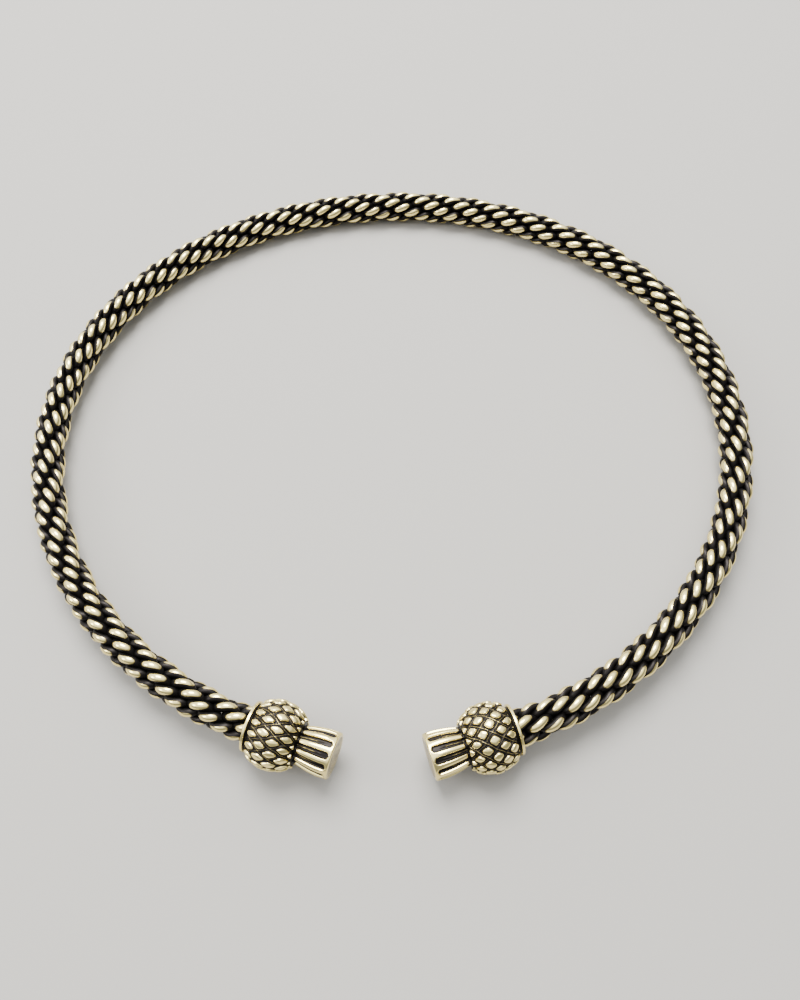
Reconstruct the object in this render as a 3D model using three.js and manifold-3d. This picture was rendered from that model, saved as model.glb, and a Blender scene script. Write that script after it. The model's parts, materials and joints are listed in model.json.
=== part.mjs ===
// A neck torc that lies on a table: a stiff twisted cable bent into an open hoop, with a cast
// thistle head on each end. Millimetres, +Z up, the opening towards -Y.
// The origin is the middle of the footprint, at table height.

import * as THREE from 'three';
import { mergeVertices } from 'three/addons/utils/BufferGeometryUtils.js';
import Module from 'manifold-3d';

// ---- Driving dimensions -------------------------------------------------------------------

// The hoop: its centre line is an egg, a little narrower towards the opening.
const hoopHalfWidth = 71.5;
const hoopHalfDepth = 65.5;
const hoopTaper = 0.03;
const leftEndAngle = THREE.MathUtils.degToRad(22);    // from the front of the egg to each thistle
const rightEndAngle = THREE.MathUtils.degToRad(17.4);

// The cable: four strands laid right-handed. Each strand here is the round core of a pair of wires.
const cableDiameter = 7;
const strandCount = 4;
const strandRadius = 1.32;
const layLength = 35.3;             // length of cable for one turn of a strand
const firstStrandTurn = THREE.MathUtils.degToRad(68);
const strandSides = 8;
const stepsPerLay = 10;
const touchingGap = 0.3;            // left between two pieces that touch

// The thistle: lengths run from the cable face towards the tip.
const rimRadius = 4.6;
const rimThickness = 0.5;
const rimRound = 0.12;
const shoulderRadius = 4.1;         // the smooth neck between the rim and the bulb
const bulbRadius = 6.3;
const bulbHalfLength = 5.9;
const bulbMiddle = 4.9;
const bulbEnd = 9.3;
const waistRadius = 3.25;           // the narrow place between the bulb and the tuft
const waistLength = 0.35;
const tuftLipRadius = 4.15;
const tuftLipLength = 0.5;
const fluteStartLength = 0.6;       // from the waist to where the flutes are at full depth
const fluteStartFlare = 0.4;       // how far the tuft has flared out there, as a share
const fluteEndLength = 1.5;         // from where the flutes start to fade to the lip
const fluteEndFlare = 0.85;
const thistleLength = 16.1;

// The relief on the thistles. The bosses were cut by hand: the right bulb has fewer round it,
// in closer rows.
const bosses = {
  left: { around: 16, rows: 4, pitch: THREE.MathUtils.degToRad(20.5) },
  right: { around: 13, rows: 5, pitch: THREE.MathUtils.degToRad(15.6) },
};
const firstBossRow = THREE.MathUtils.degToRad(-30);   // latitude on the bulb, towards the cable
const bossHeight = 0.55;
const flutesAround = 12;
const fluteDepth = 0.5;

const wireRoughness = 0.35;
const thistleRoughness = 0.3;

// ---- Materials ----------------------------------------------------------------------------

function antiquedBronze(roughness) {
  return new THREE.MeshStandardMaterial({ color: 0xb9a67c, metalness: 1, roughness });
}

// ---- The hoop's centre line ---------------------------------------------------------------

class HoopLine extends THREE.Curve {
  // Runs from the left thistle, round the back, to the right thistle.
  getPoint(t, target = new THREE.Vector3()) {
    const angle = THREE.MathUtils.lerp(2 * Math.PI - leftEndAngle, rightEndAngle, t);
    const across = hoopHalfWidth * Math.sin(angle) * (1 - hoopTaper * Math.cos(angle));
    return target.set(across, -hoopHalfDepth * Math.cos(angle), 0);
  }
}

const hoopLine = new HoopLine();
hoopLine.arcLengthDivisions = 2000;
const hoopLength = hoopLine.getLength();

// The right-handed directions of the cable at a place along it: outward, up and onward.
function cableFrame(alongHoop) {
  const onward = hoopLine.getTangentAt(alongHoop);
  const up = new THREE.Vector3(0, 0, 1);
  const outward = new THREE.Vector3().crossVectors(up, onward);
  return { middle: hoopLine.getPointAt(alongHoop), outward, up };
}

// ---- The strands --------------------------------------------------------------------------

const strandOffset = cableDiameter / 2 - strandRadius;

// A round strand crosses the cable at a slant, so its cut square to the cable is an ellipse.
function strandSection() {
  const slant = Math.atan(2 * Math.PI * strandOffset / layLength);
  const section = new THREE.Shape();
  for (let side = 0; side < strandSides; side += 1) {
    const angle = 2 * Math.PI * side / strandSides;
    const x = strandOffset + strandRadius * Math.cos(angle);
    const y = strandRadius / Math.cos(slant) * Math.sin(angle);
    if (side === 0) {
      section.moveTo(x, y);
    } else {
      section.lineTo(x, y);
    }
  }
  section.closePath();
  return section;
}

// Turns a straight bar that runs along Z round the cable's axis, and bends it along the hoop.
function twistAndBend(geometry, startTurn) {
  const place = geometry.attributes.position;
  for (let i = 0; i < place.count; i += 1) {
    const alongCable = touchingGap + place.getZ(i);
    const turn = startTurn + 2 * Math.PI * alongCable / layLength;
    const frame = cableFrame(alongCable / hoopLength);
    const x = place.getX(i) * Math.cos(turn) - place.getY(i) * Math.sin(turn);
    const y = place.getX(i) * Math.sin(turn) + place.getY(i) * Math.cos(turn);
    frame.middle.addScaledVector(frame.outward, x).addScaledVector(frame.up, y);
    place.setXYZ(i, frame.middle.x, frame.middle.y, frame.middle.z);
  }
  geometry.computeVertexNormals();
  return geometry;
}

function makeStrand(number) {
  const length = hoopLength - 2 * touchingGap;
  const bar = new THREE.ExtrudeGeometry(strandSection(), {
    depth: length,
    steps: Math.round(length / layLength * stepsPerLay),
    bevelEnabled: false,
  });
  const startTurn = firstStrandTurn + 2 * Math.PI * number / strandCount;
  const strand = new THREE.Mesh(twistAndBend(bar, startTurn), antiquedBronze(wireRoughness));
  strand.name = `strand_${number + 1}`;
  return strand;
}

// ---- The thistles -------------------------------------------------------------------------

const wasm = await Module();
wasm.setup();

function toSolid(geometry) {
  geometry.deleteAttribute('normal');
  geometry.deleteAttribute('uv');
  const merged = mergeVertices(geometry, 1e-4);
  return new wasm.Manifold(new wasm.Mesh({
    numProp: 3,
    vertProperties: merged.attributes.position.array,
    triVerts: new Uint32Array(merged.index.array),
  }));
}

function toGeometry(solid) {
  const mesh = solid.getMesh();
  const geometry = new THREE.BufferGeometry();
  geometry.setAttribute('position', new THREE.BufferAttribute(mesh.vertProperties, 3));
  geometry.setIndex(new THREE.BufferAttribute(mesh.triVerts, 1));
  geometry.computeVertexNormals();
  return geometry;
}

// Scales the rings of a turned shape out or in: reliefAt gives the change of radius for a
// ring's number and a corner's number round it.
function carve(geometry, ringCount, reliefAt) {
  const place = geometry.attributes.position;
  const corners = place.count / ringCount;
  for (let i = 0; i < place.count; i += 1) {
    const radius = Math.hypot(place.getX(i), place.getZ(i));
    const relief = reliefAt(i % ringCount, Math.floor(i / ringCount) % (corners - 1));
    if (radius > 0 && relief !== 0) {
      const grow = 1 + relief / radius;
      place.setX(i, place.getX(i) * grow);
      place.setZ(i, place.getZ(i) * grow);
    }
  }
}

// A ring of the bulb at a latitude, with the channels between the bosses cut in.
function bulbRing(latitude) {
  const radius = (bulbRadius - bossHeight) * Math.cos(latitude);
  return new THREE.Vector2(radius, bulbMiddle + bulbHalfLength * Math.sin(latitude));
}

// The rim, the shoulder and the bulb. The bosses stand in rows round the bulb, each row
// half a boss on from the last, like the scales of a thistle.
function makeBulb(side) {
  const { around, rows, pitch } = bosses[side];
  const lastLatitude = Math.asin((bulbEnd - bulbMiddle) / bulbHalfLength);
  const profile = [
    new THREE.Vector2(0, 0),
    new THREE.Vector2(rimRadius - rimRound, 0),
    new THREE.Vector2(rimRadius, rimRound),
    new THREE.Vector2(rimRadius, rimThickness - rimRound),
    new THREE.Vector2(shoulderRadius, rimThickness),
  ];
  const firstRing = profile.length;
  for (let ring = 0; ring <= 2 * rows; ring += 1) {
    profile.push(bulbRing(firstBossRow + (ring - 1) * pitch / 2));
  }
  profile.push(bulbRing(lastLatitude));
  profile.push(new THREE.Vector2(0, bulbEnd));
  const turned = new THREE.LatheGeometry(profile, 2 * around);
  carve(turned, profile.length, (ring, corner) => {
    const row = (ring - firstRing - 1) / 2;
    const onRow = Number.isInteger(row) && row >= 0 && row < rows;
    return onRow && (corner + row) % 2 === 0 ? bossHeight : 0;
  });
  return turned;
}

function flaredRadius(share) {
  return THREE.MathUtils.lerp(waistRadius, tuftLipRadius, share);
}

// The waist and the tuft of petals, which flares to a plain lip with a flat face.
function makeTuft() {
  const tuftStart = bulbEnd + waistLength;
  const lipStart = thistleLength - tuftLipLength;
  const profile = [
    new THREE.Vector2(0, bulbMiddle),
    new THREE.Vector2(waistRadius, bulbMiddle),
    new THREE.Vector2(waistRadius, tuftStart),
    new THREE.Vector2(flaredRadius(fluteStartFlare), tuftStart + fluteStartLength),
    new THREE.Vector2(flaredRadius(fluteEndFlare), lipStart - fluteEndLength),
    new THREE.Vector2(tuftLipRadius, lipStart),
    new THREE.Vector2(tuftLipRadius, thistleLength - rimRound),
    new THREE.Vector2(tuftLipRadius - rimRound, thistleLength),
    new THREE.Vector2(0, thistleLength),
  ];
  const turned = new THREE.LatheGeometry(profile, 2 * flutesAround);
  carve(turned, profile.length, (ring, corner) => {
    const fluted = ring === 3 || ring === 4;
    return fluted && corner % 2 === 1 ? -fluteDepth : 0;
  });
  return turned;
}

// The lathe turns about Y, so a thistle's cable face is at its origin and its tip at +Y.
function makeThistle(side, alongHoop) {
  const shape = toGeometry(toSolid(makeBulb(side)).add(toSolid(makeTuft())));
  const thistle = new THREE.Mesh(shape, antiquedBronze(thistleRoughness));
  thistle.name = `thistle_${side}`;
  const tip = hoopLine.getTangentAt(alongHoop);
  if (alongHoop === 0) {
    tip.negate();
  }
  thistle.position.copy(hoopLine.getPointAt(alongHoop));
  thistle.rotation.z = Math.atan2(-tip.x, tip.y);
  return thistle;
}

// ---- The torc -----------------------------------------------------------------------------

const hoop = new THREE.Group();
for (let number = 0; number < strandCount; number += 1) {
  hoop.add(makeStrand(number));
}
hoop.add(makeThistle('left', 0));
hoop.add(makeThistle('right', 1));

// The torc rests on its two bulbs and on the back of the cable, so its front is a little higher.
const restDrop = bulbRadius - cableDiameter / 2;
const restSpan = hoopHalfDepth + Math.abs(hoopLine.getPoint(0).y);
hoop.rotation.x = -Math.asin(restDrop / restSpan);

const torc = new THREE.Group();
torc.add(hoop);
const box = new THREE.Box3().setFromObject(torc, true);
const middle = box.getCenter(new THREE.Vector3());
hoop.position.set(-middle.x, -middle.y, -box.min.z);

export default torc;
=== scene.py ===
import json
import math

import bpy
from mathutils import Matrix, Vector


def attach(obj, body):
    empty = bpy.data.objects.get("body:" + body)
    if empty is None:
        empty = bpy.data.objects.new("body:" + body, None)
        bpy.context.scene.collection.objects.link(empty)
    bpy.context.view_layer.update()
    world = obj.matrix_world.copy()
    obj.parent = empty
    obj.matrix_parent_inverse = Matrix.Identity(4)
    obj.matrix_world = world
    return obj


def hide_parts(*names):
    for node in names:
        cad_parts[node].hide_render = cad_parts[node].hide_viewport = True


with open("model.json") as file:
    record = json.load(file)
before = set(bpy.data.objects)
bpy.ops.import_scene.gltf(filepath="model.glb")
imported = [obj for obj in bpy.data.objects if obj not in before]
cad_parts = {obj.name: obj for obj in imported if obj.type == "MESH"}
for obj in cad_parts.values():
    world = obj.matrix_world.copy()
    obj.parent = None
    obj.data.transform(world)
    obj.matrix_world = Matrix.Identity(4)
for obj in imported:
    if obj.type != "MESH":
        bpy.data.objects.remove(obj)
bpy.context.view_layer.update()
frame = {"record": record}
mounts = {mount["name"]: mount for mount in frame["record"]["mounts"]}
fullTurn = 2 * math.pi
print("frame loaded")


# Nodes

class Value:  # a socket in a node tree: sums on it add Math nodes
    def __init__(self, nodes, socket):
        self.nodes = nodes
        self.socket = socket

    def __add__(self, other):
        return self.nodes.math("ADD", self, other)

    def __sub__(self, other):
        return self.nodes.math("SUBTRACT", self, other)

    def __rsub__(self, other):
        return self.nodes.math("SUBTRACT", other, self)

    def __mul__(self, other):
        return self.nodes.math("MULTIPLY", self, other)

    def __truediv__(self, other):
        return self.nodes.math("DIVIDE", self, other)

    __radd__ = __add__
    __rmul__ = __mul__


class Nodes:  # adds nodes to one tree, for a shape or for a material
    def __init__(self, tree):
        self.tree = tree

    def add(self, kind, settings=None, values=None):
        node = self.tree.nodes.new(kind)
        for name, setting in (settings or {}).items():
            setattr(node, name, setting)
        for key, value in (values or {}).items():
            if isinstance(value, Value):
                value = value.socket
            if isinstance(value, bpy.types.NodeSocket):
                self.tree.links.new(value, node.inputs[key])
            else:
                node.inputs[key].default_value = value
        return node

    def field(self, kind, output=0, settings=None, values=None):
        return Value(self, self.add(kind, settings, values).outputs[output])

    def math(self, operation, *parts):
        return self.field("ShaderNodeMath", 0, {"operation": operation}, dict(enumerate(parts)))

    def vector(self, operation, *parts):
        output = "Value" if operation == "DOT_PRODUCT" else "Vector"
        return self.field("ShaderNodeVectorMath", output, {"operation": operation}, dict(enumerate(parts)))

    def scaled(self, vector, amount):
        return self.field("ShaderNodeVectorMath", 0, {"operation": "SCALE"}, {0: vector, "Scale": amount})

    def smooth(self, value, low, high):  # 0 below low, 1 above high, eased between
        return self.field("ShaderNodeMapRange", 0, {"interpolation_type": "SMOOTHSTEP"},
                          {"Value": value, "From Min": low, "From Max": high})


class Shape(Nodes):  # a Geometry Nodes tree with named inputs
    def __init__(self, name, inputs):
        super().__init__(bpy.data.node_groups.new(name, "GeometryNodeTree"))
        kinds = {int: "NodeSocketInt", float: "NodeSocketFloat", type(None): "NodeSocketMaterial"}
        interface = self.tree.interface
        interface.new_socket("Geometry", in_out="INPUT", socket_type="NodeSocketGeometry")
        for title, value in inputs.items():
            socket = interface.new_socket(title, in_out="INPUT", socket_type=kinds[type(value)])
            if value is not None:
                socket.default_value = value
        interface.new_socket("Geometry", in_out="OUTPUT", socket_type="NodeSocketGeometry")
        self.start = self.add("NodeGroupInput")

    def input(self, title):
        return Value(self, self.start.outputs[title])

    def stored(self, name, kind="FLOAT"):
        return self.field("GeometryNodeInputNamedAttribute", "Attribute", {"data_type": kind}, {"Name": name})

    def store(self, geometry, name, value, kind="FLOAT"):
        settings = {"data_type": kind, "domain": "POINT"}
        values = {"Geometry": geometry, "Name": name, "Value": value}
        return self.add("GeometryNodeStoreNamedAttribute", settings, values).outputs[0]

    def forget(self, geometry, *names):
        for name in names:
            values = {"Geometry": geometry, "Name": name}
            geometry = self.add("GeometryNodeRemoveAttribute", None, values).outputs[0]
        return geometry

    def move(self, geometry, offset):
        values = {"Geometry": geometry, "Offset": offset}
        return self.add("GeometryNodeSetPosition", None, values).outputs[0]

    def finish(self, geometry):
        smooth = self.add("GeometryNodeSetShadeSmooth", None, {"Geometry": geometry})
        real = self.add("GeometryNodeRealizeInstances", None, {"Geometry": smooth.outputs[0]})
        metal = self.add("GeometryNodeSetMaterial", None,
                         {"Geometry": real.outputs[0], "Material": self.input("Metal")})
        self.add("NodeGroupOutput", None, {"Geometry": metal.outputs[0]})
        return self.tree


def linkToScene(thing):
    bpy.context.scene.collection.objects.link(thing)
    return thing


def growPiece(name, tree, inputs, startMesh=None):  # the tree's result as a plain mesh object
    startMesh = startMesh or bpy.data.meshes.new(name + "Host")
    host = linkToScene(bpy.data.objects.new(name + "Host", startMesh))
    modifier = host.modifiers.new("shape", "NODES")
    modifier.node_group = tree
    for socket in tree.interface.items_tree:
        if socket.in_out == "INPUT" and socket.name in inputs:
            modifier[socket.identifier] = inputs[socket.name]
    depsgraph = bpy.context.evaluated_depsgraph_get()
    mesh = bpy.data.meshes.new_from_object(host.evaluated_get(depsgraph), depsgraph=depsgraph)
    bpy.data.objects.remove(host)
    mesh.name = name
    return linkToScene(bpy.data.objects.new(name, mesh))


# Metal: blackened bronze, polished where the surface stands out

bronze = {
    "metal": (0.94, 0.78, 0.32, 1),
    "wornAndPaintedReflection": (0.33, 0.235, 0.07, 1),         # where the polish thins out; on the thistles' half-polished end faces this brown is also a painted reflection of the ground
    "patina": (0.015, 0.013, 0.012, 1),
    "metalRoughness": 0.15,
    "patinaRoughness": 0.42,
    "patinaMetallic": 0.9,
    "gloss": 0.3,
    "wirePolish": (0.72, 0.81),             # values of crown where the polish begins and where it is full
    "thistlePolish": (0.42, 0.62),
    "wornShare": 0.25,                      # the part of that range with no bright metal yet
    "blotch": 900.0,                        # noise scales, for metres
    "grain": 5200.0,
    "blotchPull": 0.9,                      # how far the noises move the edge of the polish
    "grainPull": 0.5,
    "blotchRoughness": 0.25,                # how much the noises change the roughness
    "grainRoughness": 0.08,
    "grainHeight": 0.000012,
    "blotchHeight": 2.0,                    # times the grain's
    "bumpStrength": 0.5,
}


def antiquedBronze(name, polishFrom, polishTo):
    material = bpy.data.materials.new(name)
    material.use_nodes = True
    material.node_tree.nodes.clear()
    nodes = Nodes(material.node_tree)
    place = nodes.add("ShaderNodeTexCoord").outputs["Object"]
    crown = nodes.field("ShaderNodeAttribute", "Fac", {"attribute_name": "crown"})
    blotch = nodes.field("ShaderNodeTexNoise", "Fac", None,
                         {"Vector": place, "Scale": bronze["blotch"], "Detail": 4.0, "Roughness": 0.6})
    grain = nodes.field("ShaderNodeTexNoise", "Fac", None,
                        {"Vector": place, "Scale": bronze["grain"], "Detail": 3.0, "Roughness": 0.7})
    blotchShift = blotch - 0.5
    grainShift = grain - 0.5
    span = polishTo - polishFrom
    height = crown + (blotchShift * bronze["blotchPull"] + grainShift * bronze["grainPull"]) * span
    polish = nodes.smooth(height, polishFrom, polishTo)
    bright = nodes.smooth(height, polishFrom + span * bronze["wornShare"], polishTo)
    # between patina and bright metal: the worn tone, which on the thistles' end faces is a painted reflection
    # of the brown ground
    wornAndPaintedReflection = nodes.add("ShaderNodeMix", {"data_type": "RGBA"},
                     {"Factor": polish, 6: bronze["patina"], 7: bronze["wornAndPaintedReflection"]})
    colour = nodes.add("ShaderNodeMix", {"data_type": "RGBA"},
                       {"Factor": bright, 6: wornAndPaintedReflection.outputs[2], 7: bronze["metal"]})
    roughness = (bronze["patinaRoughness"] + blotchShift * bronze["blotchRoughness"]
                 + polish * (bronze["metalRoughness"] - bronze["patinaRoughness"])
                 + grainShift * bronze["grainRoughness"])
    metallic = bronze["patinaMetallic"] + polish * (1 - bronze["patinaMetallic"])
    bump = nodes.add("ShaderNodeBump", None, {
        "Height": grain + blotch * bronze["blotchHeight"], "Strength": bronze["bumpStrength"],
        "Distance": bronze["grainHeight"]})
    shader = nodes.add("ShaderNodeBsdfPrincipled", None, {
        "Base Color": colour.outputs[2], "Roughness": roughness, "Metallic": metallic,
        "Normal": bump.outputs[0], "Specular IOR Level": bronze["gloss"]})
    nodes.add("ShaderNodeOutputMaterial", None, {"Surface": shader.outputs[0]})
    return material


wireMetal = antiquedBronze("wireBronze", *bronze["wirePolish"])
thistleMetal = antiquedBronze("thistleBronze", *bronze["thistlePolish"])
print("metals made")


# Thistles: a turned body, then bosses and flutes

thistle = {
    "length": 0.0161,
    "rimRadius": 0.0046,
    "rimThickness": 0.0005,
    "rimFillet": (0.00001, 0.0001),         # how far along from the rim, and how far out from the neck
    "bulbRadius": 0.0063,
    "bulbHalfLength": 0.0059,
    "bulbMiddle": 0.0049,
    "bulbStart": 0.00062,
    "bulbEnd": 0.0093,
    "waistRadius": 0.00325,
    "waistLength": 0.00035,
    "waistFillet": ((0.00008, 0.0004), (0.00012, 0.00015)),
    "lipRadius": 0.00415,
    "lipLength": 0.0004,
    "straightFlare": 0.2,                   # the part of the tuft's flare that is a cone
    "flareBend": 2.4,                       # how early the rest of it opens
    "edge": 0.00012,                        # radius of the rim's edges
    "lipEdge": 0.00028,
    "corners": 480,
    "edgeSteps": 4,
    "lipEdgeSteps": 6,
    "bulbSteps": 128,
    "tuftSteps": 44,
    "turn": {"left": 0.0, "right": math.radians(10)},

    "bossesAround": {"left": 16, "right": 13},
    "firstRow": math.radians(-30),          # latitude of the bosses next to the cable
    "rowPitch": {"left": math.radians(20.5), "right": math.radians(15.6)},
    "bossHeight": 0.00052,
    "bossSquareness": 3.6,                  # 2 gives round bosses
    "bossEdge": (0.54, 0.80),               # top and foot: 0 is a boss's middle, 1 the channel's
    "bossDoming": 0.5,
    "ridgeHeight": 0.00016,                 # of the fine line along each channel
    "ridgeEdge": (0.88, 0.98),
    "reliefStart": (-0.72, -0.62),          # latitudes over which the bosses come in and fade out
    "reliefEnd": (0.80, 0.85),
    "wobble": 0.34,                         # how unevenly the channels are cut
    "wobbleScale": 420.0,

    "flutes": 12,
    "fluteDepth": 0.00052,
    "fluteEdge": (0.20, 0.33),              # from the floor to the top, as shares of the pitch
    "fluteTip": (0.90, 1.0),                # shares of the tuft over which a flute closes
    "tipClosing": 0.3,
    "lineEdge": (0.025, 0.06),              # the fine line along the middle of a flute
    "lineEnd": (0.5, 0.8),
    "petalRounding": (0.1, 0.6),            # across a petal, which is what stands between two flutes
    "petalEnd": (0.7, 1.0),

    "polish": {                             # stored as crown, which the metal reads
        "boss": 1.3,
        "ridge": 0.53,
        "rimFace": 0.35,
        "rimBand": (0.00025, 0.0001),       # inwards from the rim's edge, from dull to full polish
        "petalFoot": 0.2,
        "petalFootEnd": 0.12,
        "line": 0.5,
        # painted reflection: the end face gets only half polish, so its brown-gold tone stands in for the
        # brown ground reflected in a polished face
        "endFacePolishAndPaintedReflection": 0.52,
        "endFaceDepth": (0.0004, 0.0003),
        "lip": 0.4,                         # on top of the end face's
        "lipBand": (0.0006, 0.0002),
    },
}

elsewhere = -9.0                            # latitude of rings off the bulb, tuft share of rings off the tuft


def thistleRings():  # (length along, radius, latitude on the bulb, share of the tuft) of each ring
    rings = []

    def ring(along, radius, latitude=elsewhere, tuft=elsewhere):
        rings.append((along, radius, latitude, tuft))

    def rounded(along, radius, size, fromAngle, toAngle, steps):  # a small round edge
        for step in range(steps + 1):
            angle = fromAngle + (toAngle - fromAngle) * step / steps
            ring(along + size * math.sin(angle), radius + size * math.cos(angle))

    quarter = math.pi / 2
    edge = thistle["edge"]
    rimRadius = thistle["rimRadius"]
    for share in (0.5, 0.85):
        ring(0, rimRadius * share)
    rounded(edge, rimRadius - edge, edge, -quarter, 0, thistle["edgeSteps"])
    rounded(thistle["rimThickness"] - edge, rimRadius - edge, edge, 0, quarter, thistle["edgeSteps"])

    bulbMiddle = thistle["bulbMiddle"]
    halfLength = thistle["bulbHalfLength"]
    floorRadius = thistle["bulbRadius"] - thistle["bossHeight"]
    firstLatitude = math.asin((thistle["bulbStart"] - bulbMiddle) / halfLength)
    lastLatitude = math.asin((thistle["bulbEnd"] - bulbMiddle) / halfLength)
    past, out = thistle["rimFillet"]
    ring(thistle["rimThickness"] + past, floorRadius * math.cos(firstLatitude) + out)
    for step in range(thistle["bulbSteps"] + 1):
        latitude = firstLatitude + (lastLatitude - firstLatitude) * step / thistle["bulbSteps"]
        ring(bulbMiddle + halfLength * math.sin(latitude), floorRadius * math.cos(latitude), latitude)

    waistRadius = thistle["waistRadius"]
    lipRadius = thistle["lipRadius"]
    for past, out in thistle["waistFillet"]:
        ring(thistle["bulbEnd"] + past, waistRadius + out)
    tuftStart = thistle["bulbEnd"] + thistle["waistLength"]
    lipStart = thistle["length"] - thistle["lipLength"]
    straight = thistle["straightFlare"]
    for step in range(thistle["tuftSteps"] + 1):
        share = step / thistle["tuftSteps"]
        flare = straight * share + (1 - straight) * (1 - (1 - share) ** thistle["flareBend"])
        ring(tuftStart + (lipStart - tuftStart) * share,
             waistRadius + (lipRadius - waistRadius) * flare, tuft=share)

    faceRadius = lipRadius - thistle["lipEdge"]
    rounded(thistle["length"] - thistle["lipEdge"], faceRadius, thistle["lipEdge"], 0, quarter,
            thistle["lipEdgeSteps"])
    for share in (0.9, 0.6, 0.3):
        ring(thistle["length"], faceRadius * share)
    return rings


def turnedBody(name):  # closed at both poles, with the cable face at the origin and the tip at +Z
    rings = thistleRings()
    corners = thistle["corners"]
    points = [(0, 0, 0)]
    for along, radius, _, _ in rings:
        for corner in range(corners):
            angle = fullTurn * corner / corners
            points.append((radius * math.cos(angle), radius * math.sin(angle), along))
    points.append((0, 0, thistle["length"]))
    faces = []
    for corner in range(corners):
        following = (corner + 1) % corners
        faces.append((0, 1 + following, 1 + corner))
        for number in range(len(rings) - 1):
            low = 1 + number * corners
            high = low + corners
            faces.append((low + corner, low + following, high + following, high + corner))
        top = 1 + (len(rings) - 1) * corners
        faces.append((top + corner, top + following, len(points) - 1))
    mesh = bpy.data.meshes.new(name)
    mesh.from_pydata(points, [], faces)
    for title, place in (("latitude", 2), ("tuft", 3)):
        layer = mesh.attributes.new(title, "FLOAT", "POINT")
        values = [elsewhere]
        for oneRing in rings:
            values += [oneRing[place]] * corners
        values.append(elsewhere)
        layer.data.foreach_set("value", values)
    return mesh


def bossesOnBulb(shape, around):  # bosses fill the diamonds between two families of slanting channels
    latitude = shape.stored("latitude")
    position = shape.field("GeometryNodeInputPosition")
    noise = shape.add("ShaderNodeTexNoise", None,
                      {"Vector": position, "Scale": shape.input("Wobble Scale"), "Detail": 1.0})
    parts = shape.add("ShaderNodeSeparateXYZ", None, {0: noise.outputs["Color"]})
    shifts = [(Value(shape, parts.outputs[axis]) - 0.5) * shape.input("Wobble") for axis in "XY"]
    row = (latitude - shape.input("First Row")) / shape.input("Row Pitch") + shifts[0]
    place = around * shape.input("Bosses Around") + shifts[1]
    sides = [shape.math("PINGPONG", place + row * slant, 0.5) * 2 for slant in (0.5, -0.5)]
    powers = [shape.math("POWER", side, thistle["bossSquareness"]) for side in sides]
    fromMiddle = shape.math("POWER", powers[0] + powers[1], 1 / thistle["bossSquareness"])
    dome = 1 - fromMiddle * fromMiddle * thistle["bossDoming"]
    boss = (1 - shape.smooth(fromMiddle, *thistle["bossEdge"])) * dome
    ridge = shape.smooth(shape.math("MAXIMUM", *sides), *thistle["ridgeEdge"])
    onBulb = (shape.smooth(latitude, *thistle["reliefStart"])
              * (1 - shape.smooth(latitude, *thistle["reliefEnd"])))
    rise = onBulb * (boss * shape.input("Boss Height") + ridge * shape.input("Ridge Height"))
    return rise, onBulb * (boss * thistle["polish"]["boss"] + ridge * thistle["polish"]["ridge"])


def flutesOnTuft(shape, around):  # each flute has a fine line along it and a round tip before the lip
    tuft = shape.stored("tuft")
    onTuft = shape.smooth(tuft, -0.5, 0.0)
    toFlute = 0.5 - shape.math("PINGPONG", around * shape.input("Flutes"), 0.5)
    tip = shape.smooth(tuft, *thistle["fluteTip"])
    hollow = 1 - shape.smooth(toFlute + tip * tip * thistle["tipClosing"], *thistle["fluteEdge"])
    line = (1 - shape.smooth(toFlute, *thistle["lineEdge"])) * (1 - shape.smooth(tuft, *thistle["lineEnd"]))
    petal = shape.smooth(toFlute, *thistle["petalRounding"]) * (1 - shape.smooth(tuft, *thistle["petalEnd"]))
    ridgeHeight = shape.input("Ridge Height")
    rise = onTuft * (line * ridgeHeight + petal * ridgeHeight - hollow * shape.input("Flute Depth"))
    polish = thistle["polish"]
    foot = polish["petalFoot"]
    opening = foot + (1 - foot) * shape.smooth(tuft, 0.0, polish["petalFootEnd"])
    return rise, onTuft * (1 - hollow) * opening + onTuft * line * polish["line"]


def rimAndFacePolishWithPaintedReflection(shape, x, y, along):  # brightest at the rim's edge and on the lip round the end face; the end face's own half polish is a painted reflection of the brown ground
    polish = thistle["polish"]
    radius = shape.math("SQRT", x * x + y * y)
    rimRadius = shape.input("Rim Radius")
    lipRadius = shape.input("Lip Radius")
    length = shape.input("Length")
    rimFrom, rimTo = polish["rimBand"]
    lipFrom, lipTo = polish["lipBand"]
    faceFrom, faceTo = polish["endFaceDepth"]
    rimEdge = shape.smooth(radius, rimRadius - rimFrom, rimRadius - rimTo)
    offRim = shape.smooth(along, thistle["rimThickness"], thistle["rimThickness"] + thistle["edge"] / 2)
    onRim = (1 - offRim) * (polish["rimFace"] + rimEdge * (1 - polish["rimFace"]))
    lipEdge = shape.smooth(radius, lipRadius - lipFrom, lipRadius - lipTo)
    atFace = shape.smooth(along, length - faceFrom, length - faceTo)
    # the end face's half polish paints the ground's brown reflection; the lip's polish is its own wear
    return onRim, atFace * (polish["endFacePolishAndPaintedReflection"] + lipEdge * polish["lip"])


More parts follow.
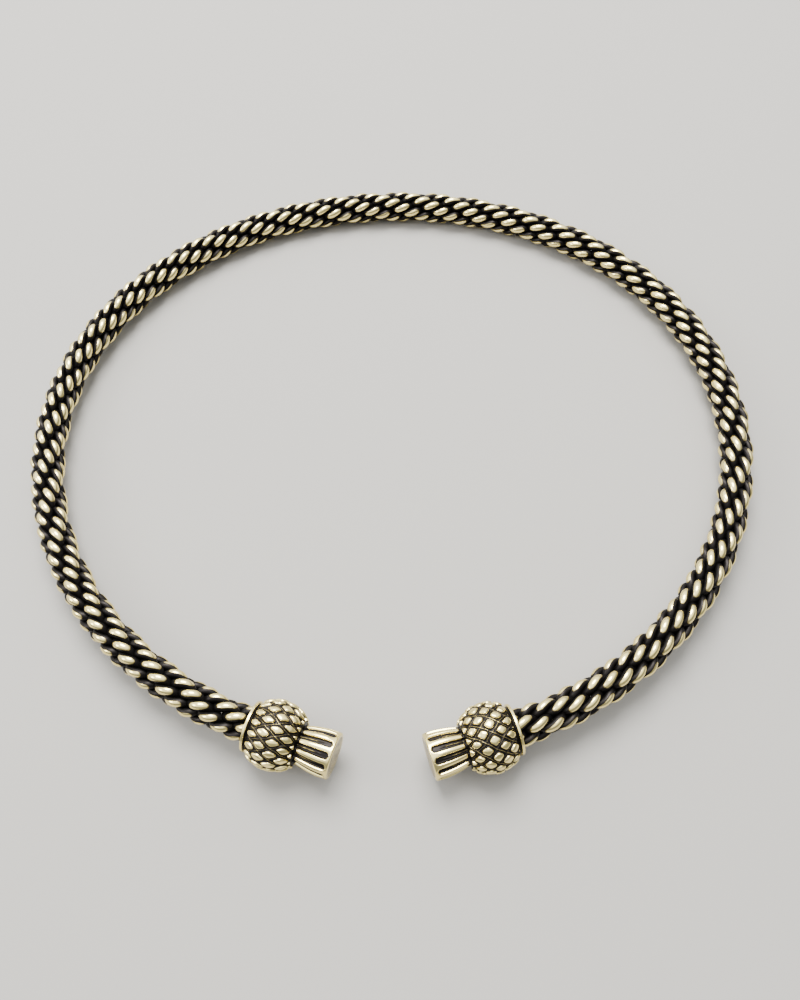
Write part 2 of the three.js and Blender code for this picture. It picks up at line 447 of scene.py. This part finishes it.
def thistleTree():
    shape = Shape("thistleRelief", {
        "Bosses Around": 14, "First Row": -0.5, "Row Pitch": 0.34, "Boss Height": 0.0005,
        "Ridge Height": 0.0001, "Flutes": 12, "Flute Depth": 0.0005, "Rim Radius": 0.0046,
        "Lip Radius": 0.0041, "Length": 0.016, "Turn": 0.0, "Wobble": 0.0, "Wobble Scale": 400.0,
        "Metal": None})
    position = shape.add("ShaderNodeSeparateXYZ", None, {0: shape.field("GeometryNodeInputPosition")})
    x, y, along = (Value(shape, position.outputs[axis]) for axis in "XYZ")
    around = (shape.math("ARCTAN2", y, x) + shape.input("Turn")) / fullTurn
    bulbRise, bulbPolish = bossesOnBulb(shape, around)
    tuftRise, tuftPolish = flutesOnTuft(shape, around)
    rimPolish, facePolishAndPaintedReflection = rimAndFacePolishWithPaintedReflection(shape, x, y, along)
    # on the end face, crown carries a painted reflection of the ground
    crown = shape.math("MAXIMUM", bulbPolish, shape.math("MAXIMUM", tuftPolish, rimPolish)) + facePolishAndPaintedReflection
    offset = shape.scaled(shape.field("GeometryNodeInputNormal"), bulbRise + tuftRise)
    geometry = shape.store(shape.start.outputs["Geometry"], "crown", crown)
    geometry = shape.store(geometry, "rise", offset, "FLOAT_VECTOR")
    raised = shape.move(geometry, shape.stored("rise", "FLOAT_VECTOR"))
    return shape.finish(shape.forget(raised, "rise", "latitude", "tuft"))


def makeThistles():
    tree = thistleTree()
    for side, turn in thistle["turn"].items():
        name = f"cast_thistle_{side}"
        piece = growPiece(name, tree, {
            "Bosses Around": thistle["bossesAround"][side], "First Row": thistle["firstRow"],
            "Row Pitch": thistle["rowPitch"][side], "Boss Height": thistle["bossHeight"],
            "Ridge Height": thistle["ridgeHeight"], "Flutes": thistle["flutes"],
            "Flute Depth": thistle["fluteDepth"], "Rim Radius": thistle["rimRadius"],
            "Lip Radius": thistle["lipRadius"], "Length": thistle["length"], "Turn": turn,
            "Wobble": thistle["wobble"], "Wobble Scale": thistle["wobbleScale"],
            "Metal": thistleMetal}, turnedBody(name + "Body"))
        face = mounts[f"{side}_tuft_face"]
        axis = Vector(face["axis"]).normalized()
        toFrame = axis.to_track_quat("Z", "Y").to_matrix().to_4x4()
        base = Vector(face["pos_m"]) - axis * thistle["length"]
        piece.data.transform(Matrix.Translation(base) @ toFrame)
        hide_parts(f"thistle_{side}")
        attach(piece, "root")
        print(name, len(piece.data.polygons), "faces")


# Hoop: the egg that the cable's middle follows, and where the frame puts it

hoop = {
    "halfWidth": 0.0715,
    "halfDepth": 0.0655,
    "taper": 0.03,
    "leftEnd": math.radians(22),            # from the front of the egg to each thistle
    "rightEnd": math.radians(17.4),
    "stations": 400,                        # for measuring the length
}


def hoopPoint(angle):
    across = hoop["halfWidth"] * math.sin(angle) * (1 - hoop["taper"] * math.cos(angle))
    return Vector((across, -hoop["halfDepth"] * math.cos(angle), 0))


def hoopOnward(angle):  # the cable's direction, from the left thistle round the back
    step = 1e-4
    return (hoopPoint(angle - step) - hoopPoint(angle + step)).normalized()


def hoopLength(firstAngle, lastAngle):
    count = hoop["stations"]
    points = [hoopPoint(firstAngle + (lastAngle - firstAngle) * step / count) for step in range(count + 1)]
    return sum((a - b).length for a, b in zip(points, points[1:]))


def placeHoop(leftEndAngle, cableRadius):  # it rests on the bulbs and on the back of the cable
    drop = thistle["bulbRadius"] - cableRadius
    span = hoop["halfDepth"] + abs(hoopPoint(leftEndAngle).y)
    tilt = Matrix.Rotation(-math.asin(drop / span), 4, "X")
    leftTip = hoopPoint(leftEndAngle) - hoopOnward(leftEndAngle) * thistle["length"]
    return Matrix.Translation(Vector(mounts["left_tuft_face"]["pos_m"]) - tilt @ leftTip) @ tilt


# Cable: four strands, each a pair of wires that twist the other way

cable = {
    "radius": 0.0035,
    "embed": 0.0004,                        # how far the wires run into the rims
    "strands": 4,
    "layLength": 0.0353,
    "strandOffset": 0.00185,
    "strandStart": math.radians(68),
    "wires": 2,
    "wireRadius": 0.00085,
    "wireOffset": 0.0008,
    "firstPitch": 0.00465,                  # the twist of the pairs loosens a little along the cable
    "lastPitch": 0.0051,
    "wobble": 0.5,                          # how unevenly the pairs are twisted
    "wobbleScale": 30.0,
    "seedStep": 7.3,                        # from one strand's unevenness to the next
    "dive": 0.05,                           # how soon the polish ends where a wire dips inwards
    "roughSteps": 900,                      # before the line is divided evenly
    "steps": 1100,
    "sides": 12,
}


def eggLine(shape):  # the cable's middle, with its length, place and direction kept for later
    line = shape.add("GeometryNodeCurvePrimitiveLine", None, {"End": (1.0, 0.0, 0.0)})
    rough = shape.add("GeometryNodeResampleCurve", None,
                      {"Curve": line.outputs[0], "Count": shape.input("Rough Steps")})
    share = shape.field("GeometryNodeSplineParameter", "Factor")
    angle = shape.input("First Angle") + share * (shape.input("Last Angle") - shape.input("First Angle"))
    narrowing = 1 - shape.input("Taper") * shape.math("COSINE", angle)
    across = shape.input("Half Width") * shape.math("SINE", angle) * narrowing
    back = shape.input("Half Depth") * shape.math("COSINE", angle) * -1
    egg = shape.add("ShaderNodeCombineXYZ", None, {"X": across, "Y": back})
    bent = shape.add("GeometryNodeSetPosition", None,
                     {"Geometry": rough.outputs[0], "Position": egg.outputs[0]})
    even = shape.add("GeometryNodeResampleCurve", None,
                     {"Curve": bent.outputs[0], "Count": shape.input("Steps")})
    length = shape.field("GeometryNodeSplineParameter", "Length")
    geometry = shape.store(even.outputs[0], "along", length - shape.input("Embed"))
    geometry = shape.store(geometry, "core", shape.field("GeometryNodeInputPosition"), "FLOAT_VECTOR")
    return shape.store(geometry, "onward", shape.field("GeometryNodeInputTangent"), "FLOAT_VECTOR")


def turnedBetween(shape, first, second, turn):  # the first direction, turned towards the second
    return shape.vector("ADD", shape.scaled(first, shape.math("COSINE", turn)),
                        shape.scaled(second, shape.math("SINE", turn)))


def layStrand(shape, geometry):  # a copy of the line for each wire, all moved onto the strand's helix
    copies = shape.add("GeometryNodeDuplicateElements", {"domain": "SPLINE"},
                       {"Geometry": geometry, "Amount": shape.input("Wires")})
    up = (0.0, 0.0, 1.0)
    outward = shape.vector("CROSS_PRODUCT", up, shape.stored("onward", "FLOAT_VECTOR"))
    turn = shape.input("Strand Start") + shape.stored("along") * fullTurn / shape.input("Lay Length")
    radial = turnedBetween(shape, outward, up, turn)
    geometry = shape.store(copies.outputs["Geometry"], "radial", radial, "FLOAT_VECTOR")
    offset = shape.scaled(shape.stored("radial", "FLOAT_VECTOR"), shape.input("Strand Offset"))
    return shape.move(geometry, offset), Value(shape, copies.outputs["Duplicate Index"])


def twistWires(shape, geometry, wireNumber):  # each wire runs round the strand's own middle
    along = shape.stored("along")
    twist = along * (shape.input("Wire Twist") + along * shape.input("Twist Gain"))
    unevenness = shape.field("ShaderNodeTexNoise", "Fac", {"noise_dimensions": "1D"}, {
        "W": along + shape.input("Seed"), "Scale": shape.input("Wobble Scale"), "Detail": 1.0})
    turn = (wireNumber * fullTurn / shape.input("Wires") - twist * fullTurn
            + (unevenness - 0.5) * shape.input("Wobble"))
    radial = shape.stored("radial", "FLOAT_VECTOR")
    sideways = shape.vector("CROSS_PRODUCT", shape.field("GeometryNodeInputTangent"), radial)
    swing = turnedBetween(shape, radial, sideways, turn)
    geometry = shape.store(geometry, "dip", 1 - shape.math("COSINE", turn))
    geometry = shape.store(geometry, "swing", swing, "FLOAT_VECTOR")
    offset = shape.scaled(shape.stored("swing", "FLOAT_VECTOR"), shape.input("Wire Offset"))
    return shape.move(geometry, offset)


def drawWires(shape, geometry):
    section = shape.add("GeometryNodeCurvePrimitiveCircle", None,
                        {"Resolution": shape.input("Sides"), "Radius": shape.input("Wire Radius")})
    tube = shape.add("GeometryNodeCurveToMesh", None,
                     {"Curve": geometry, "Profile Curve": section.outputs[0], "Fill Caps": True})
    return tube.outputs[0]


def markCrowns(shape, geometry):  # crown is 1 where a wire faces straight out from the cable's middle
    onward = shape.stored("onward", "FLOAT_VECTOR")
    fromCore = shape.vector("SUBTRACT", shape.field("GeometryNodeInputPosition"),
                            shape.stored("core", "FLOAT_VECTOR"))
    lengthways = shape.scaled(onward, shape.vector("DOT_PRODUCT", fromCore, onward))
    outwards = shape.vector("NORMALIZE", shape.vector("SUBTRACT", fromCore, lengthways))
    facing = shape.vector("DOT_PRODUCT", shape.field("GeometryNodeInputNormal"), outwards)
    return shape.store(geometry, "crown", facing - shape.stored("dip") * shape.input("Dive"))


def cableTree():
    shape = Shape("laidStrand", {
        "Half Width": 0.07, "Half Depth": 0.065, "Taper": 0.03, "First Angle": 5.9, "Last Angle": 0.3,
        "Embed": 0.0, "Lay Length": 0.035, "Strand Offset": 0.002, "Strand Start": 0.0, "Wires": 2,
        "Wire Radius": 0.0008, "Wire Offset": 0.0008, "Wire Twist": 200.0, "Twist Gain": 0.0,
        "Wobble": 0.0, "Wobble Scale": 30.0, "Seed": 0.0, "Dive": 0.05, "Rough Steps": 900,
        "Steps": 1000, "Sides": 12, "Metal": None})
    geometry, wireNumber = layStrand(shape, eggLine(shape))
    geometry = drawWires(shape, twistWires(shape, geometry, wireNumber))
    geometry = markCrowns(shape, geometry)
    return shape.finish(shape.forget(geometry, "core", "onward", "radial", "swing", "dip", "along"))


def makeStrands():
    tree = cableTree()
    leftEndAngle = fullTurn - hoop["leftEnd"]
    toFrame = placeHoop(leftEndAngle, cable["radius"])
    cableLength = hoopLength(leftEndAngle, hoop["rightEnd"])
    reach = cable["embed"] / hoop["halfWidth"]  # the embed as an angle on the egg
    firstTwist = 1 / cable["firstPitch"]
    lastTwist = 1 / cable["lastPitch"]
    twistGain = (lastTwist - firstTwist) / (2 * cableLength)  # the twist's slope then ends at lastTwist
    for number in range(cable["strands"]):
        name = f"laid_strand_{number + 1}"
        strand = growPiece(name, tree, {
            "Half Width": hoop["halfWidth"], "Half Depth": hoop["halfDepth"], "Taper": hoop["taper"],
            "First Angle": leftEndAngle + reach, "Last Angle": hoop["rightEnd"] - reach,
            "Embed": cable["embed"], "Lay Length": cable["layLength"],
            "Strand Offset": cable["strandOffset"],
            "Strand Start": cable["strandStart"] + fullTurn * number / cable["strands"],
            "Wires": cable["wires"], "Wire Radius": cable["wireRadius"], "Wire Offset": cable["wireOffset"],
            "Wire Twist": firstTwist, "Twist Gain": twistGain,
            "Wobble": cable["wobble"], "Wobble Scale": cable["wobbleScale"],
            "Seed": cable["seedStep"] * number, "Dive": cable["dive"],
            "Rough Steps": cable["roughSteps"], "Steps": cable["steps"], "Sides": cable["sides"],
            "Metal": wireMetal})
        strand.data.transform(toFrame)
        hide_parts(f"strand_{number + 1}")
        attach(strand, "root")
        print(name, len(strand.data.polygons), "faces")


# Stage

view = {
    "aim": (0.0015, -0.0149, 0.0049),       # the point the camera looks at
    "distance": 0.1775,
    "elevation": math.radians(63),
    "roll": math.radians(-1.5),
    "lens": 31.7,
    "nearest": 0.005,
}

paleFloor = {
    "halfSize": 3.0,
    "colour": (0.30, 0.285, 0.26, 1),
    "roughness": 0.85,
}

lamps = {                                   # place, size and power of each softbox
    "overhead": ((-0.05, 0.28, 0.62), 0.45, 14.0),
    "leftFill": ((-0.60, -0.05, 0.40), 0.30, 2.5),
}

room = {
    "colour": (0.95, 0.98, 1.0, 1),
    "walls": 0.42,                          # brightness low down, and overhead
    "ceiling": 3.0,
    "ceilingFrom": 0.1,
    "ceilingTo": 0.85,
    "lean": (-0.28, 0.48, 0.83),            # the brightest part is a little behind and to the left
}


def placeCamera():
    camera = linkToScene(bpy.data.objects.new("camera", bpy.data.cameras.new("camera")))
    camera.data.lens = view["lens"]
    camera.data.clip_start = view["nearest"]
    back = Vector((0, -math.cos(view["elevation"]), math.sin(view["elevation"])))
    turned = back.to_track_quat("Z", "Y").to_matrix().to_4x4() @ Matrix.Rotation(view["roll"], 4, "Z")
    camera.matrix_world = Matrix.Translation(Vector(view["aim"]) + back * view["distance"]) @ turned
    bpy.context.scene.camera = camera


def layFloor():
    size = paleFloor["halfSize"]
    mesh = bpy.data.meshes.new("floor")
    corners = [(-size, -size, 0), (size, -size, 0), (size, size, 0), (-size, size, 0)]
    mesh.from_pydata(corners, [], [(0, 1, 2, 3)])
    floor = linkToScene(bpy.data.objects.new("floor", mesh))
    material = bpy.data.materials.new("paleFloor")
    material.use_nodes = True
    shader = material.node_tree.nodes["Principled BSDF"]
    shader.inputs["Base Color"].default_value = paleFloor["colour"]
    shader.inputs["Roughness"].default_value = paleFloor["roughness"]
    mesh.materials.append(material)


def hangLamps():
    for name, (place, size, power) in lamps.items():
        data = bpy.data.lights.new(name, "AREA")
        data.shape = "DISK"
        data.size = size
        data.energy = power
        lamp = linkToScene(bpy.data.objects.new(name, data))
        lamp.location = place
        lamp.rotation_euler = Vector(place).to_track_quat("Z", "Y").to_euler()


def lightRoom():  # a soft glow overhead that fades towards the walls
    world = bpy.data.worlds.new("softRoom")
    world.use_nodes = True
    nodes = Nodes(world.node_tree)
    direction = nodes.add("ShaderNodeTexCoord").outputs["Generated"]
    height = nodes.vector("DOT_PRODUCT", direction, room["lean"])
    overhead = nodes.smooth(height, room["ceilingFrom"], room["ceilingTo"])
    strength = room["walls"] + overhead * (room["ceiling"] - room["walls"])
    background = world.node_tree.nodes["Background"]
    background.inputs["Color"].default_value = room["colour"]
    world.node_tree.links.new(strength.socket, background.inputs["Strength"])
    bpy.context.scene.world = world


placeCamera()
layFloor()
hangLamps()
lightRoom()
print("stage set")
makeStrands()
makeThistles()
